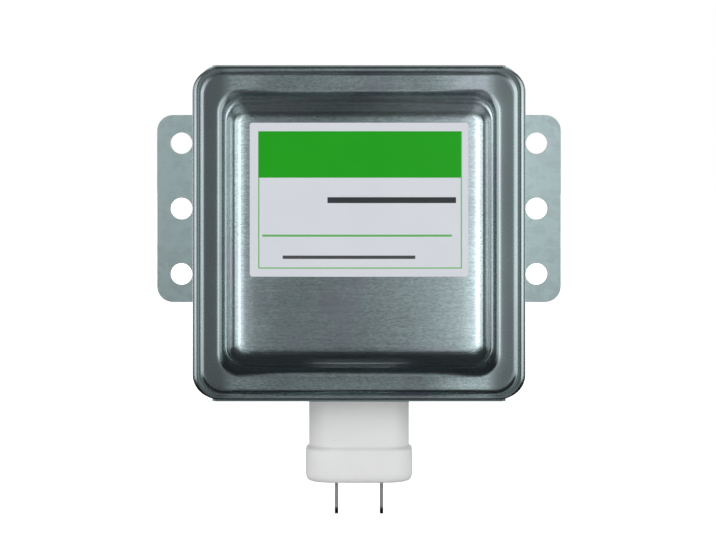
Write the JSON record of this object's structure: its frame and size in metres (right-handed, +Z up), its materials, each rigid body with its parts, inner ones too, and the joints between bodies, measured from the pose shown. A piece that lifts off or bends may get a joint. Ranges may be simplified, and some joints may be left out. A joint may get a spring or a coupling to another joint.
{
  "type": "magnetron",
  "caption": "Cooker magnetron: finned copper tube between ring magnets in a bent steel yoke, with an eared mounting plate, an antenna cap and a filter box that carries a two-tab plug.",
  "frame": {"origin": "centre of the mounting plate's waveguide face, on the antenna axis", "axes": "+Y along the antenna axis into the waveguide, away from the filter cover; +Z up, away from the plug; +X right as seen from the filter cover"},
  "size_m": [0.108, 0.1186, 0.109],
  "materials": {
    "galvanised_sheet": "zinc-coated sheet with a fine rolling grain",
    "drawn_steel": "drawn zinc-coated sheet, polished at the radii",
    "label_film": "printed film",
    "ferrite": "sintered and ground ferrite",
    "fin_aluminium": "bright rolled sheet",
    "copper": "bare copper",
    "pole_iron": "plated soft iron",
    "tube_steel": "plated steel",
    "alumina": "fired alumina",
    "tungsten": "dull refractory metal",
    "gasket_wire": "knitted plated wire",
    "white_plastic": "moulded off-white plastic",
    "potting_resin": "cast resin",
    "titanate": "fired titanate ceramic",
    "tinned_brass": "tinned brass",
    "choke_wire": "lacquered copper wire"
  },
  "bodies": {
    "root": {"mounting_plate": "galvanised_sheet", "yoke_frame": "galvanised_sheet", "filter_box": "galvanised_sheet", "filter_cover": "drawn_steel", "cover_label": "label_film", "magnet_output_side": "ferrite", "magnet_stem_side": "ferrite", "cooling_fin_1": "fin_aluminium", "cooling_fin_2": "fin_aluminium", "cooling_fin_3": "fin_aluminium", "cooling_fin_4": "fin_aluminium", "cooling_fin_5": "fin_aluminium", "cooling_fin_6": "fin_aluminium", "anode_cylinder": "copper", "anode_vane_01": "copper", "anode_vane_02": "copper", "anode_vane_03": "copper", "anode_vane_04": "copper", "anode_vane_05": "copper", "anode_vane_06": "copper", "anode_vane_07": "copper", "anode_vane_08": "copper", "anode_vane_09": "copper", "anode_vane_10": "copper", "strap_inner_output_end": "copper", "strap_inner_stem_end": "copper", "strap_outer_output_end": "copper", "strap_outer_stem_end": "copper", "pole_piece_output": "pole_iron", "pole_piece_stem": "pole_iron", "output_sleeve": "tube_steel", "stem_sleeve": "tube_steel", "antenna_cap": "tube_steel", "output_ceramic": "alumina", "stem_ceramic": "alumina", "exhaust_tube": "copper", "antenna_lead": "copper", "filament": "tungsten", "end_shield_output": "tungsten", "end_shield_stem": "tungsten", "centre_lead": "tungsten", "side_lead": "tungsten", "stem_terminal_left": "tube_steel", "stem_terminal_right": "tube_steel", "rf_gasket": "gasket_wire", "capacitor_case": "white_plastic", "capacitor_inner_case": "white_plastic", "capacitor_potting": "potting_resin", "capacitor_ceramic": "titanate", "capacitor_flange": "tinned_brass", "capacitor_rivet_left": "tinned_brass", "capacitor_rivet_right": "tinned_brass", "terminal_tab_left": "tinned_brass", "terminal_tab_right": "tinned_brass", "choke_coil_left": "choke_wire", "choke_coil_right": "choke_wire", "ferrite_core_left": "ferrite", "ferrite_core_right": "ferrite"}
  },
  "joints": []
}
